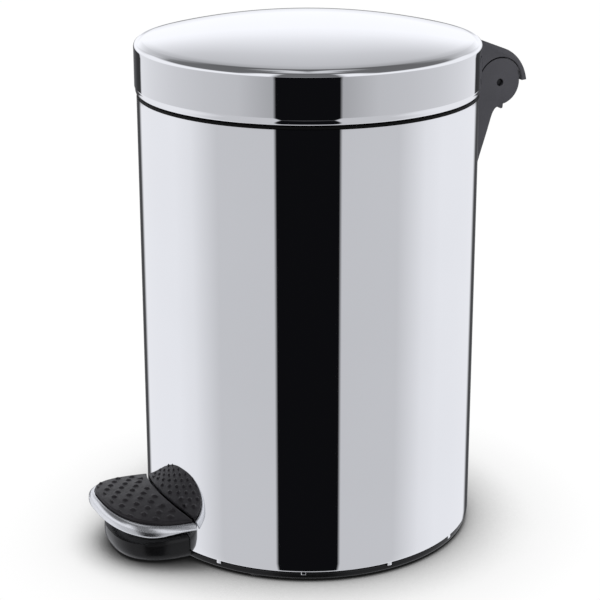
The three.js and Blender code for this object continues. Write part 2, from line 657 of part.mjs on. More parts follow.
// Tapered bucket hung by its flange, with a channel down its back for the lift rod and two ears
// for the bail.
function innerBucket() {
  const outer = turned([
    [0, BUCKET_FLOOR], [BUCKET_BOTTOM_R - 3, BUCKET_FLOOR], [BUCKET_BOTTOM_R, BUCKET_FLOOR + 4],
    [BUCKET_TOP_R, FLANGE_LOW], [BUCKET_FLANGE_R, FLANGE_LOW],
    [BUCKET_FLANGE_R, FLANGE_HIGH], [0, FLANGE_HIGH],
  ]);
  const wall = BUCKET_WALL;
  const hollow = turned([
    [0, BUCKET_FLOOR + wall], [BUCKET_BOTTOM_R - 3 - wall, BUCKET_FLOOR + wall],
    [BUCKET_BOTTOM_R - wall, BUCKET_FLOOR + 5], [BUCKET_TOP_R - wall, FLANGE_LOW],
    [BUCKET_TOP_R - wall, FLANGE_HIGH + 1], [0, FLANGE_HIGH + 1],
  ]);
  const channel = (grow) => box(
    [-CHANNEL_HALF_WIDTH - grow, CHANNEL_HALF_WIDTH + grow],
    [CHANNEL_Y - grow, 130],
    [BUCKET_FLOOR - 5, FLANGE_HIGH + 5]);
  const ear = prismX([[-5, FLANGE_HIGH - 0.5], [5, FLANGE_HIGH - 0.5], ...arc(0, BAIL_Z, 4, 0, 180, 8)],
    108.4, 111.2);
  const ears = joined(ear, ear.mirror([1, 0, 0])).subtract(rodX(0, BAIL_Z, BAIL_WIRE_R + 0.4, -130, 130, 12));
  return outer.subtract(channel(0)).subtract(hollow.subtract(channel(wall))).add(ears);
}

// Wire from ear to ear round the front of the rim, its ends turned in through the ears.
function bailWire() {
  const bend = 8;
  const start = Math.asin(bend / BAIL_R);
  const steps = 40;
  const path = new THREE.CurvePath();
  const end = (side) => new THREE.Vector3(side * 106.8, 0, BAIL_Z);
  const turn = (side) => new THREE.Vector3(side * BAIL_R, -bend, BAIL_Z);
  const corner = (side) => new THREE.Vector3(side * BAIL_R, 0, BAIL_Z);
  const shoulder = (side) => new THREE.Vector3(side * (BAIL_R - 4), 0, BAIL_Z);
  const sweep = Array.from({ length: steps + 1 }, (_, i) => {
    const angle = start + (Math.PI - 2 * start) * i / steps;
    return new THREE.Vector3(BAIL_R * Math.cos(angle), -BAIL_R * Math.sin(angle), BAIL_Z);
  });
  path.add(new THREE.LineCurve3(end(1), shoulder(1)));
  path.add(new THREE.QuadraticBezierCurve3(shoulder(1), corner(1), turn(1)));
  path.add(new THREE.CatmullRomCurve3(sweep));
  path.add(new THREE.QuadraticBezierCurve3(turn(-1), corner(-1), shoulder(-1)));
  path.add(new THREE.LineCurve3(shoulder(-1), end(-1)));
  const section = outline(arc(0, 0, BAIL_WIRE_R, 0, 360, 6).slice(0, -1));
  return solid(new THREE.ExtrudeGeometry(section, { steps: 52, bevelEnabled: false, extrudePath: path }));
}

// Sleeve over the middle of the wire.
function bailGrip() {
  const half = 0.36;
  const arcPoints = (count) => Array.from({ length: count + 1 }, (_, i) => {
    const angle = Math.PI / 2 - half + 2 * half * i / count;
    return new THREE.Vector3(BAIL_R * Math.cos(angle), -BAIL_R * Math.sin(angle), BAIL_Z);
  });
  const sleeve = (radius, points, steps) => solid(new THREE.ExtrudeGeometry(
    outline(arc(0, 0, radius, 0, 360, 8).slice(0, -1)),
    { steps, bevelEnabled: false, extrudePath: new THREE.CatmullRomCurve3(points) }));
  const stretch = Array.from({ length: 15 }, (_, i) => {
    const angle = Math.PI / 2 - half * 1.1 + 2.2 * half * i / 14;
    return new THREE.Vector3(BAIL_R * Math.cos(angle), -BAIL_R * Math.sin(angle), BAIL_Z);
  });
  return sleeve(GRIP_R, arcPoints(12), 10).subtract(sleeve(BAIL_WIRE_R + 0.5, stretch, 12));
}

// ---------- assembly ----------

place('outer_shell', outerShell(), MIRROR_STEEL);
place('top_trim_ring', trimRing(), BLACK_PLASTIC);
place('base_ring', baseRing(), BLACK_PLASTIC);
place('base_plate', basePlate(), PLAIN_STEEL);
for (let i = 0; i < FOOT_COUNT; i++) {
  place(`rubber_foot_${i + 1}`, rubberFoot(45 + i * 360 / FOOT_COUNT), RUBBER);
}
place('pedal_bracket', pedalBracket(), PLAIN_STEEL);
place('pedal_pivot_pin', rodX(PIVOT_Y, PIVOT_Z, PIVOT_R, -15, 15), PLAIN_STEEL);
place('rod_guide_lower', rodGuide(110), BLACK_PLASTIC);
place('rod_guide_upper', rodGuide(225), BLACK_PLASTIC);
place('hinge_bracket', hingeBracket(), GREY_PLASTIC);
place('hinge_pin', hingePin(), PLAIN_STEEL);
place('hinge_backing_plate', backingPlate(), PLAIN_STEEL);
bracketScrewPlaces().forEach(([x, z], i) => place(`bracket_screw_${i + 1}`, bracketScrew(x, z), PLAIN_STEEL));

place('pedal_tray', pedalTray(), CHROME);
place('pedal_pad', pedalPad(), RUBBER);
place('pedal_lever', pedalLever(), PLAIN_STEEL);
[-136, -154].forEach((y, i) => place(`pedal_rivet_${i + 1}`, pedalRivet(y), PLAIN_STEEL));

place('lift_rod', liftRod(), PLAIN_STEEL);
place('rod_head', rodHead(), BLACK_PLASTIC);
place('rod_collar', rodCollar(), PLAIN_STEEL);

place('lid_shell', lidShell(), MIRROR_STEEL);
place('lid_liner', lidLiner(), BLACK_PLASTIC);
place('hinge_arm', hingeArm(), GREY_PLASTIC);
place('crank_pin', crankPin(), PLAIN_STEEL);
lidScrewPlaces().forEach(([x, z], i) => place(`lid_screw_${i + 1}`, lidScrew(x, z), PLAIN_STEEL));
[0, 110, 250].forEach((angle, i) => place(`lid_bumper_${i + 1}`, lidBumper(angle), RUBBER));

place('inner_bucket', innerBucket(), BUCKET_PLASTIC);
place('bail_wire', bailWire(), PLAIN_STEEL);
place('bail_grip', bailGrip(), BLACK_PLASTIC);

export default part;
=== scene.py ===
"""Looks for the pedal bin: steel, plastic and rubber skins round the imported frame, a plain studio,
and a camera that sees the pedal on the left. Shapes are given in millimetres and made in metres,
+Z up, with the pedal at -Y and the hinge at +Y."""

import json
import math

import bmesh
import bpy
from mathutils import Matrix, Vector


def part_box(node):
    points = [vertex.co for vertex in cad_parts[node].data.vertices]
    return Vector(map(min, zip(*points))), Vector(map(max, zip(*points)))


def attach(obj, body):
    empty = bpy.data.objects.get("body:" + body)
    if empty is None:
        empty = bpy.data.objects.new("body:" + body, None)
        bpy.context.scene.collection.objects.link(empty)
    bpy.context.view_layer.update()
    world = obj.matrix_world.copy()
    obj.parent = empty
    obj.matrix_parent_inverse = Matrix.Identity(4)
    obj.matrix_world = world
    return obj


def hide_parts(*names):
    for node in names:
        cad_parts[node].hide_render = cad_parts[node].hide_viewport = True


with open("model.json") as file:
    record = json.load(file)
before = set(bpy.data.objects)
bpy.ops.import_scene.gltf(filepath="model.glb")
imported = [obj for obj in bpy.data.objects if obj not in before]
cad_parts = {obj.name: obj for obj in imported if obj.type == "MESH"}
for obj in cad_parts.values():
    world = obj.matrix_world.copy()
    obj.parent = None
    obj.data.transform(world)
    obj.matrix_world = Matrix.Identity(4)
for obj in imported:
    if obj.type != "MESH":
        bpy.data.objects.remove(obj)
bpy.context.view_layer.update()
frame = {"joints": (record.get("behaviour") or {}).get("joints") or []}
MM = 0.001


def joint(name):
    return next(j for j in frame["joints"] if j["name"] == name)


def millimetres(node):
    """Lowest and highest corners of a CAD node."""
    low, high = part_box(node)
    return low / MM, high / MM


# ---------- sizes, in millimetres, from the frame ----------

SHELL_LOW, SHELL_HIGH = millimetres("outer_shell")
LID_LOW, LID_HIGH = millimetres("lid_shell")
TRIM_LOW, TRIM_HIGH = millimetres("top_trim_ring")
PAD_LOW, PAD_HIGH = millimetres("pedal_pad")
BRACKET_LOW, BRACKET_HIGH = millimetres("hinge_bracket")
LINER_LOW, LINER_HIGH = millimetres("lid_liner")
BASE_BOTTOM = millimetres("base_ring")[0].z
BUCKET_FLOOR = millimetres("inner_bucket")[0].z
HINGE = Vector(joint("lid_hinge")["pos_m"]) / MM
BAIL_Z = joint("bail_swing")["pos_m"][2] / MM

BODY_R = SHELL_HIGH.x
SHELL_TOP = SHELL_HIGH.z
SHELL_EDGE = SHELL_LOW.z + 2.2
LID_R = LID_HIGH.x
LID_TOP = LID_HIGH.z
DISC_R = BRACKET_HIGH.z - HINGE.z
HALF_WIDTH = BRACKET_HIGH.x
CHEEK = 4
PAD_HALF = PAD_HIGH.x
PAD_TIP = -PAD_LOW.y

# The pad is widest this far from the axis, and lies on a slope with a crown of this radius across it.
PAD_WIDEST = 124
PAD_TOP = 40.2
PAD_SLOPE = 0.077
PAD_CROWN = 211
PAD_GAP = 1.0

# ---------- materials ----------


def node_material(name):
    material = bpy.data.materials.new(name)
    material.use_nodes = True
    tree = material.node_tree
    return material, tree, tree.nodes["Principled BSDF"]


def noise(tree, scale, detail=3.0):
    where = tree.nodes.new("ShaderNodeTexCoord")
    texture = tree.nodes.new("ShaderNodeTexNoise")
    texture.inputs["Scale"].default_value = scale
    texture.inputs["Detail"].default_value = detail
    tree.links.new(where.outputs["Object"], texture.inputs["Vector"])
    return texture.outputs["Fac"]


def mapped(tree, value, low, high):
    """Noise, most of which lies between 0.3 and 0.7, stretched over low to high."""
    ranged = tree.nodes.new("ShaderNodeMapRange")
    ranged.inputs["From Min"].default_value = 0.3
    ranged.inputs["From Max"].default_value = 0.7
    ranged.inputs["To Min"].default_value = low
    ranged.inputs["To Max"].default_value = high
    tree.links.new(value, ranged.inputs["Value"])
    return ranged.outputs["Result"]


def bump(tree, height, strength, distance):
    node = tree.nodes.new("ShaderNodeBump")
    node.inputs["Strength"].default_value = strength
    node.inputs["Distance"].default_value = distance
    tree.links.new(height, node.inputs["Height"])
    return node.outputs["Normal"]


def blended(tree, value, dark, light):
    """Colour that drifts from dark to light as the noise does."""
    ramp = tree.nodes.new("ShaderNodeValToRGB")
    ramp.color_ramp.elements[0].position = 0.35
    ramp.color_ramp.elements[0].color = (*dark, 1)
    ramp.color_ramp.elements[1].position = 0.65
    ramp.color_ramp.elements[1].color = (*light, 1)
    tree.links.new(value, ramp.inputs["Fac"])
    return ramp.outputs["Color"]


def metal(name, colour, rough, spread, grain=60.0):
    """Polished or plated metal, its gloss varying softly over the sheet."""
    material, tree, shader = node_material(name)
    shade = [c * 0.985 for c in colour]
    tree.links.new(blended(tree, noise(tree, 9.0), shade, colour), shader.inputs["Base Color"])
    tree.links.new(mapped(tree, noise(tree, grain), rough, rough + spread), shader.inputs["Roughness"])
    shader.inputs["Metallic"].default_value = 1
    return material


def moulded(name, colour, rough, spread, grain, strength, depth, gloss=0.5):
    """Moulded plastic or rubber with a fine grain in its surface."""
    material, tree, shader = node_material(name)
    shade = [c * 0.86 for c in colour]
    tree.links.new(blended(tree, noise(tree, 35.0), shade, colour), shader.inputs["Base Color"])
    tree.links.new(mapped(tree, noise(tree, 120.0), rough, rough + spread), shader.inputs["Roughness"])
    tree.links.new(bump(tree, noise(tree, grain, 2.0), strength, depth), shader.inputs["Normal"])
    shader.inputs["Specular IOR Level"].default_value = gloss
    return material


MIRROR = metal("mirror_steel", (0.88, 0.885, 0.9), 0.012, 0.02)
CHROME = metal("pedal_chrome", (0.78, 0.79, 0.81), 0.24, 0.06, 200.0)
BLACKED = metal("blackened_steel", (0.03, 0.03, 0.032), 0.4, 0.1, 300.0)
PLATED = metal("plated_steel", (0.56, 0.57, 0.59), 0.28, 0.14, 400.0)
GLOSS_BLACK = moulded("black_plastic", (0.006, 0.006, 0.0065), 0.2, 0.08, 900.0, 0.08, 0.0002, 0.3)
GREY = moulded("grey_plastic", (0.056, 0.055, 0.064), 0.42, 0.12, 2600.0, 0.3, 0.0002)
BUCKET = moulded("bucket_plastic", (0.03, 0.03, 0.033), 0.42, 0.1, 1500.0, 0.2, 0.0002)
PAD_RUBBER = moulded("pedal_rubber", (0.012, 0.0105, 0.0125), 0.4, 0.12, 1800.0, 0.35, 0.0003, 0.35)
RUBBER = moulded("rubber", (0.03, 0.03, 0.03), 0.6, 0.15, 1200.0, 0.4, 0.0003)
TRIM_BLACK = moulded("trim_plastic", (0.003, 0.003, 0.003), 0.5, 0.1, 900.0, 0.08, 0.0002, 0.08)

# ---------- mesh helpers ----------


def made(name, vertices, faces, material, sharp=35.0):
    """Mesh object from millimetre vertices, shaded smooth up to an angle."""
    mesh = bpy.data.meshes.new(name)
    mesh.from_pydata([Vector(v) * MM for v in vertices], [], faces)
    return finished(bpy.data.objects.new(name, mesh), material, sharp)


def finished(piece, material, sharp=35.0):
    """Links the piece, welds it, turns its faces outwards and gives it its material."""
    if piece.name not in bpy.context.scene.collection.objects:
        bpy.context.scene.collection.objects.link(piece)
    mesh = piece.data
    work = bmesh.new()
    work.from_mesh(mesh)
    bmesh.ops.remove_doubles(work, verts=work.verts, dist=1e-7)
    bmesh.ops.recalc_face_normals(work, faces=work.faces)
    work.to_mesh(mesh)
    work.free()
    mesh.shade_smooth()
    mesh.set_sharp_from_angle(angle=math.radians(sharp))
    mesh.materials.clear()
    mesh.materials.append(material)
    return piece


def applied(piece, sharp=35.0):
    """Bakes a piece's modifiers into its mesh."""
    graph = bpy.context.evaluated_depsgraph_get()
    mesh = bpy.data.meshes.new_from_object(piece.evaluated_get(graph))
    piece.modifiers.clear()
    old, piece.data = piece.data, mesh
    bpy.data.meshes.remove(old)
    mesh.shade_smooth()
    mesh.set_sharp_from_angle(angle=math.radians(sharp))
    return piece


def bevelled(piece, width, segments=3, sharp=40.0):
    """Rounds the piece's sharp edges."""
    modifier = piece.modifiers.new("edge", "BEVEL")
    modifier.width = width * MM
    modifier.segments = segments
    modifier.limit_method = "ANGLE"
    modifier.angle_limit = math.radians(32)
    modifier.harden_normals = False
    return applied(piece, sharp)


def thickened(piece, thickness):
    """Gives an open sheet its thickness, grown inwards from the modelled face."""
    modifier = piece.modifiers.new("sheet", "SOLIDIFY")
    modifier.thickness = thickness * MM
    modifier.offset = -1
    modifier.use_even_offset = True
    return applied(piece)


def cut(piece, cutter, operation="DIFFERENCE"):
    """Subtracts the cutter from the piece, or adds it, and deletes the cutter."""
    modifier = piece.modifiers.new("cut", "BOOLEAN")
    modifier.operation = operation
    modifier.solver = "EXACT"
    modifier.object = cutter
    applied(piece)
    bpy.data.objects.remove(cutter)
    return piece


def merged(name, pieces):
    """One object from several meshes, keeping each one's surfaces."""
    work = bmesh.new()
    material = pieces[0].data.materials[0]
    for piece in pieces:
        work.from_mesh(piece.data)
        bpy.data.objects.remove(piece)
    mesh = bpy.data.meshes.new(name)
    work.to_mesh(mesh)
    work.free()
    result = bpy.data.objects.new(name, mesh)
    return finished(result, material)


def angles(count, extra=()):
    """Even steps round a circle, with extra angles among them."""
    even = [2 * math.pi * i / count for i in range(count)]
    marks = [a % (2 * math.pi) for a in extra]
    return sorted(marks + [a for a in even if all(abs(a - m) > 1e-4 for m in marks)])


def around(radius, height, angle):
    """Point on a circle about Z; angle 0 is the pedal's side, turning towards +X."""
    return (radius * math.sin(angle), -radius * math.cos(angle), height)


def turned(name, profile, material, closed=False, count=256, extra=(), keep=None, sharp=35.0):
    """Surface of revolution of [radius, height] points; keep(angle, height) drops faces."""
    turns = angles(count, extra)
    size = len(profile)
    vertices = [around(r, z, a) for a in turns for r, z in profile]
    faces = []
    for i, angle in enumerate(turns):
        after = (i + 1) % len(turns)
        width = (turns[after] - angle) % (2 * math.pi)
        for j in range(size if closed else size - 1):
            k = (j + 1) % size
            middle = (profile[j][1] + profile[k][1]) / 2
            if keep and not keep((angle + width / 2) % (2 * math.pi), middle):
                continue
            faces.append((i * size + j, i * size + k, after * size + k, after * size + j))
    return made(name, vertices, faces, material, sharp)


def arc(u, v, radius, start, end, steps):
    """Points on a circle about (u, v), from start to end in degrees."""
    return [
        (u + radius * math.cos(math.radians(start + (end - start) * i / steps)),
         v + radius * math.sin(math.radians(start + (end - start) * i / steps)))
        for i in range(steps + 1)
    ]


def extruded(name, outline, left, right, material, bevel=0.0):
    """Prism along X of an outline of [y, z] points."""
    size = len(outline)
    vertices = [(x, y, z) for x in (left, right) for y, z in outline]
    faces = [tuple(range(size)), tuple(range(size, 2 * size))]
    faces += [(i, (i + 1) % size, size + (i + 1) % size, size + i) for i in range(size)]
    piece = made(name, vertices, faces, material)
    return bevelled(piece, bevel) if bevel else piece


def lofted(name, rings, material, cap_first=True, cap_last=True, sharp=35.0):
    """Skin over rings of the same number of points."""
    size = len(rings[0])
    vertices = [point for ring in rings for point in ring]
    faces = []
    for level in range(len(rings) - 1):
        base = level * size
        for i in range(size):
            after = (i + 1) % size
            faces.append((base + i, base + after, base + size + after, base + size + i))
    if cap_first:
        faces.append(tuple(range(size)))
    if cap_last:
        faces.append(tuple(range(len(vertices) - size, len(vertices))))
    return made(name, vertices, faces, material, sharp)


def block(name, low, high, material):
    corners = [(x, y, z) for x in (low[0], high[0]) for y in (low[1], high[1]) for z in (low[2], high[2])]
    faces = [(0, 1, 3, 2), (4, 6, 7, 5), (0, 4, 5, 1), (2, 3, 7, 6), (0, 2, 6, 4), (1, 5, 7, 3)]
    return made(name, corners, faces, material)


def dress(piece, body, slot, *nodes):
    """Puts a finished piece on its body in place of CAD nodes."""
    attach(piece, body)
    if nodes:
        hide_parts(*nodes)
    return piece


# ---------- body shell ----------

WINDOW_HALF, WINDOW_LOW, WINDOW_HIGH = 9.5, 26.4, 36.5
SLOT_HALF, SLOT_LOW = 10.5, 298
WINDOW_ANGLE = math.asin(WINDOW_HALF / BODY_R)
SLOT_ANGLE = math.asin(SLOT_HALF / BODY_R)
HEM = 1.5


def shell_keeps(angle, height):
    """False inside the pedal's window and the crank's slot."""
    from_pedal = min(angle, 2 * math.pi - angle)
    from_hinge = abs(angle - math.pi)
    in_window = from_pedal < WINDOW_ANGLE and WINDOW_LOW < height < WINDOW_HIGH
    in_slot = from_hinge < SLOT_ANGLE and height > SLOT_LOW
    return not (in_window or in_slot)


def body_shell():
    """Rolled sheet with a curled lower edge, a window for the pedal lever and a slot for the crank."""
    hem = arc(BODY_R - HEM, SHELL_EDGE + HEM, HEM, 0, -150, 10)
    profile = [(BODY_R, z) for z in (SHELL_TOP, SLOT_LOW, 200, 100, WINDOW_HIGH, WINDOW_LOW, 14)] + hem
    extra = [WINDOW_ANGLE, -WINDOW_ANGLE, math.pi - SLOT_ANGLE, math.pi + SLOT_ANGLE]
    sheet = turned("body_shell", profile, MIRROR, extra=extra, keep=shell_keeps)
    sheet = thickened(sheet, 0.7)
    tabs = [crimp_tab(math.radians(30 * i + 2)) for i in range(1, 12)]
    return merged("body_shell", [sheet, *tabs])


def crimp_tab(angle):
    """Small tab folded down from the hem over the base."""
    half, low, high = 1.8, SHELL_LOW.z + 0.4, SHELL_EDGE + 1.4
    inner, outer = BODY_R - 0.95, BODY_R - 0.25
    tab = block("tab", (-half, -outer, low), (half, -inner, high), MIRROR)
    tab = bevelled(tab, 0.3, 2)
    tab.data.transform(Matrix.Rotation(angle, 4, "Z"))
    return tab


# ---------- trim ring and base ----------


def trim_ring():
    """Ring in the shell's mouth: a flange on the sheet, a lip under the lid, a ledge for the bucket."""
    low, top = SHELL_TOP + 0.3, TRIM_HIGH.z
    flange, ledge = 336.3, 329.5
    outer, inner, lip = BODY_R - 1.3, 119.4, 123
    profile = [
        (outer, low), (BODY_R - 0.2, low), *arc(BODY_R - 0.9, flange - 0.9, 0.9, 0, 90, 5),
        (lip + 0.4, flange), (lip, flange + 0.4), (lip, top - 0.8), (lip - 0.8, top), (inner + 0.6, top),
        (inner, top - 0.6), (inner, ledge), (113, ledge), (113, ledge - 2.2), (inner, ledge - 4.5),
        (inner, TRIM_LOW.z), (outer, TRIM_LOW.z),
    ]
    ring = turned("trim_ring", profile, TRIM_BLACK, closed=True)
    return cut(ring, block("gap", (-SLOT_HALF, 100, 310), (SLOT_HALF, 130, 350), TRIM_BLACK))


# Height, half width and reach from the axis, from the housing's lower edge up to its crown.
HOUSING_LEVELS = [
    (1.8, 37.6, 159.6), (2.4, 39.2, 162), (4, 40.6, 164), (7, 41.3, 165.1), (10, 41.5, 165.5),
    (13, 41.5, 165.5), (16, 41.4, 165.2), (18, 40.6, 162.2), (20, 38.8, 156.6), (22, 35, 148.2),
    (23.6, 29.6, 139), (24.6, 23, 131), (25, 18, 126),
]


def squarer(value):
    """Sine or cosine pulled outwards, which turns an ellipse into a squarer oval."""
    return math.copysign(abs(value) ** 0.8, value)


def housing_ring(height, half, nose, steps=64):
    """Outline of the pedal housing at one height, its back inside the body."""
    start = BODY_R - 8
    points = [(-half, -start + 10, height), (half, -start + 10, height)]
    for i in range(steps + 1):
        angle = math.pi * i / steps
        reach = (nose - start) * squarer(abs(math.sin(angle)))
        points.append((half * squarer(math.cos(angle)), -start - reach, height))
    return points


def base_moulding():
    """Base ring with the hollow pedal housing in front."""
    profile = [
        (110, BASE_BOTTOM), (121.4, BASE_BOTTOM), *arc(121.9, 3.7, 1.9, -80, 0, 6), (123.7, 4.6),
        *arc(122.3, 5.6, 1.2, 0, 70, 4), (122.4, 7.2), (122.4, 16), (120.4, 16), (120.4, 3.8), (110, 3.8),
    ]
    ring = turned("base_moulding", profile, GLOSS_BLACK, closed=True)
    outer = lofted("housing", [housing_ring(*level) for level in HOUSING_LEVELS], GLOSS_BLACK)
    wall = 2.4
    inside = [(-1, HOUSING_LEVELS[0][1] - wall, HOUSING_LEVELS[0][2] - wall)]
    inside += [(z - wall, half - wall, nose - wall) for z, half, nose in HOUSING_LEVELS]
    hollow = lofted("hollow", [housing_ring(*level) for level in inside], GLOSS_BLACK)
    core = turned("core", [(0, -3), (BODY_R - 1, -3), (BODY_R - 1, 30), (0, 30)], GLOSS_BLACK)
    cut(hollow, core)
    cut(outer, hollow)
    cut(outer, turned("above", [(0, 7.2), (BODY_R + 0.4, 7.2), (BODY_R + 0.4, 40), (0, 40)], GLOSS_BLACK))
    cut(outer, turned("middle", [(0, -2), (121.5, -2), (121.5, 40), (0, 40)], GLOSS_BLACK))
    cut(ring, block("notch", (-10, 105, 5.4), (10, 122.3, 20), GLOSS_BLACK))
    return merged("base_moulding", [ring, outer])


# ---------- lid ----------


def dome(radius, sphere=488.0):
    """Height of the lid's domed panel."""
    return LID_TOP - sphere + math.sqrt(sphere * sphere - radius * radius)


def lid_skin():
    """Domed panel, a crease, a rounded shoulder and a slightly crowned skirt with a curled edge."""
    edge = 119.6
    rim = dome(edge)
    top = [(edge * i / 24, dome(edge * i / 24)) for i in range(25)]
    roll = [(120.3, rim - 0.25), (122.4, rim - 1.4), (122.9, rim - 1.85)]
    crease = [(123.2, rim - 2.05), (123.5, rim - 1.95), (123.9, rim - 1.45)]
    shoulder = arc(LID_R - 4, rim - 4.75, 4, 60, 4, 10)
    skirt = [(LID_R - 0.02 * ((z - 341) / 16) ** 2, z) for z in (367, 360, 354, 348, 342, 341.4)]
    hem = [(LID_R - 0.3, 340.6), (LID_R - 0.62, 339.4)]
    curl = arc(LID_R - 2.1, LID_LOW.z + 1.5, 1.5, 10, -160, 9)
    sheet = turned("lid_skin", top + roll + crease + shoulder + skirt + hem + curl, MIRROR, sharp=70.0)
    return thickened(sheet, 0.6)


def inner_lid():
    """Black moulding inside the lid, with stiffening rings on its underside."""
    outer = LINER_HIGH.x
    low, floor, top = LINER_LOW.z, 364.0, LINER_HIGH.z
    rings = []
    for radius in (28, 58, 88):
        rings += [(radius - 1.6, floor), (radius - 1, floor - 1.2)]
        rings += [(radius + 1, floor - 1.2), (radius + 1.6, floor)]
    profile = [
        (0, floor), *rings, (outer - 5.2, floor), (outer - 2.4, floor - 1.1), (outer - 1.6, floor - 3.6),
        (outer - 1.6, low), (outer, low), (outer, floor), (outer - 3, top), (0, top),
    ]
    return turned("inner_lid", profile, GLOSS_BLACK, sharp=30.0)


# ---------- hinge ----------

PIN_BORE = 2.9
CRANK_BORE = 2.3
CRANK_LENGTH = 37
CRANK_HALF = 3.6
EASE = 0.45


def shifted(points):
    """[y, z] points measured from the hinge."""
    return [(HINGE.y + y, HINGE.z + z) for y, z in points]


def hinge_circle(radius, steps, centre=(0, 0)):
    """Circle about a point that is measured from the hinge."""
    return shifted(arc(*centre, radius, 0, 360, steps)[:-1])


def bracket_side():
    """Outline of the cheeks: a round disc with a small beak under it, on a foot that tapers down."""
    foot = BRACKET_LOW.z - HINGE.z
    return shifted([
        (-31, foot), (-31, -0.8), (-22, 1.6), *arc(0, 0, DISC_R, 172, 28, 40),
        *arc(0, 0, DISC_R - 1.4, 26, -79, 30), (3.0, -19.3), (2.6, -20), (1.6, -20.2), (0.9, -19.7),
        (-0.2, -18.4), (-2.8, -18.9), (-4.4, -20.4), (-5.8, -22.6), (-7.2, -26.3), (-10.5, -37.1),
        (-16.1, -54), (-25.8, -85.8), (-26.3, foot),
    ])


def hinge_cheeks():
    """Bracket on the back of the shell: two round cheeks, a tapering foot and a curved back."""
    side = bracket_side()
    cheeks = [
        extruded("cheek", side, x, x + CHEEK, GREY) for x in (-HALF_WIDTH, HALF_WIDTH - CHEEK)
    ]
    core = extruded("core", side, -HALF_WIDTH + 1, HALF_WIDTH - 1, GREY)
    inner = HALF_WIDTH - CHEEK
    hollow = shifted([
        (-21.7, -79.8), (-21.7, 28), (26, 28), (26, -15), (-2, -15), (-8.2, -19.8), (-10, -26.3),
        (-13.5, -37.1), (-19.1, -54), (-21.3, -69.8),
    ])
    cut(core, extruded("hollow", hollow, -inner, inner, GREY))
    cut(core, block("above", (-inner, 108, 300), (inner, 135, 362), GREY))
    cut(core, block("behind", (-inner, 139, 300), (inner, 182, 362), GREY))
    bracket = core
    for cheek in cheeks:
        cut(bracket, cheek, "UNION")
    wall = BODY_R + 0.3
    cut(bracket, turned("shell", [(0, 200), (wall, 200), (wall, 365), (0, 365)], GREY, count=128))
    cut(bracket, extruded("bore", hinge_circle(PIN_BORE, 40), -40, 40, GREY))
    bracket.name = "hinge_cheeks"
    return bevelled(bracket, EASE, 2, 35.0)


def hood_top():
    """Straight top that runs into one arc down to the tip."""
    return [(-27, 37.4), *arc(-8.2, -4.25, 32, 69, 8, 20)]


def hood():
    """Cover on the back of the lid that curls round the bracket's cheeks."""
    inner = DISC_R + 1.1
    top = hood_top()
    side = [*reversed(top), (-27, 6.8), (-inner - 1.3, 5.3), *reversed(arc(0, 0, inner, 0, 165, 40))]
    cover = extruded("hood", shifted(side), -HALF_WIDTH, HALF_WIDTH, GREY)
    wide = HALF_WIDTH - CHEEK
    cavity = [
        (-30, -1.8), (-30, 32), (-12.8, 28.4), (-1, 23.8), (6.9, 21.4),
        *arc(0, 0, inner + 0.5, 50, 0, 12), (10, -1.8),
    ]
    cut(cover, extruded("cavity", shifted(cavity), -wide, wide, GREY))
    lug = [(-7, 29), *arc(0, 0, 7.5, 180, 360, 24), (7.5, 22.6)]
    outer = wide - 0.6
    for left in (-outer, outer - 4):
        cut(cover, extruded("lug", shifted(lug), left, left + 4, GREY), "UNION")
    cut(cover, extruded("hub", hinge_circle(6.2, 32), -outer + 1, outer - 1, GREY), "UNION")
    crank_pin = crank_arms(cover)
    plate = block("plate", (-HALF_WIDTH + 1, 118, 339.4), (HALF_WIDTH - 1, 129.4, 367.6), GREY)
    cut(cover, plate, "UNION")
    wall = LID_R + 0.25
    cut(cover, turned("lid", [(0, 330), (wall, 330), (wall, 400), (0, 400)], GREY, count=128))
    for radius, centre in ((PIN_BORE, (0, 0)), (CRANK_BORE, crank_pin)):
        cut(cover, extruded("bore", hinge_circle(radius, 32, centre), -40, 40, GREY))
    cover.name = "hinge_hood"
    return bevelled(cover, EASE, 2, 35.0)


def crank_arms(cover):
    """Adds two arms that swing evenly about level as the lid opens. Returns the crank pin's place."""
    opening = math.radians(joint("lid_hinge")["range_deg"][1]) / 2
    along = Vector((-math.cos(opening), -math.sin(opening)))
    across = Vector((-along.y, along.x)) * CRANK_HALF
    end = along * CRANK_LENGTH
    start = math.degrees(math.atan2(across.y, across.x))
    tip = arc(end.x, end.y, across.length, start, start + 180, 12)
    bar = [(across.x, across.y), *tip, (-across.x, -across.y)]
    for left in (-9, 5.5):
        cut(cover, extruded("crank", shifted(bar), left, left + 3.5, GREY), "UNION")
    return end


# ---------- pedal ----------


def pad_height(x, y):
    """Height of the pad's surface, without its studs."""
    return PAD_TOP + PAD_SLOPE * (-y - BODY_R) - x * x / (2 * PAD_CROWN)


def rim_point(out, angle):
    """Point on the pedal's rounded outline, moved out by some amount."""
    x = (PAD_HALF + out) * squarer(math.cos(angle))
    return x, -PAD_WIDEST - (PAD_TIP - PAD_WIDEST + out) * squarer(abs(math.sin(angle)))


def pad_outline(out, gap, front=220, back=80):
    """The pedal's rounded outline, closed along the body with a gap to it."""
    wall = BODY_R + gap
    side = math.asin((PAD_HALF + out - 0.3) / wall)
    points = [rim_point(out, math.pi * i / front) for i in range(front + 1)]
    for i in range(back + 1):
        angle = side * (2 * i / back - 1)
        points.append((wall * math.sin(angle), -wall * math.cos(angle)))
    return points


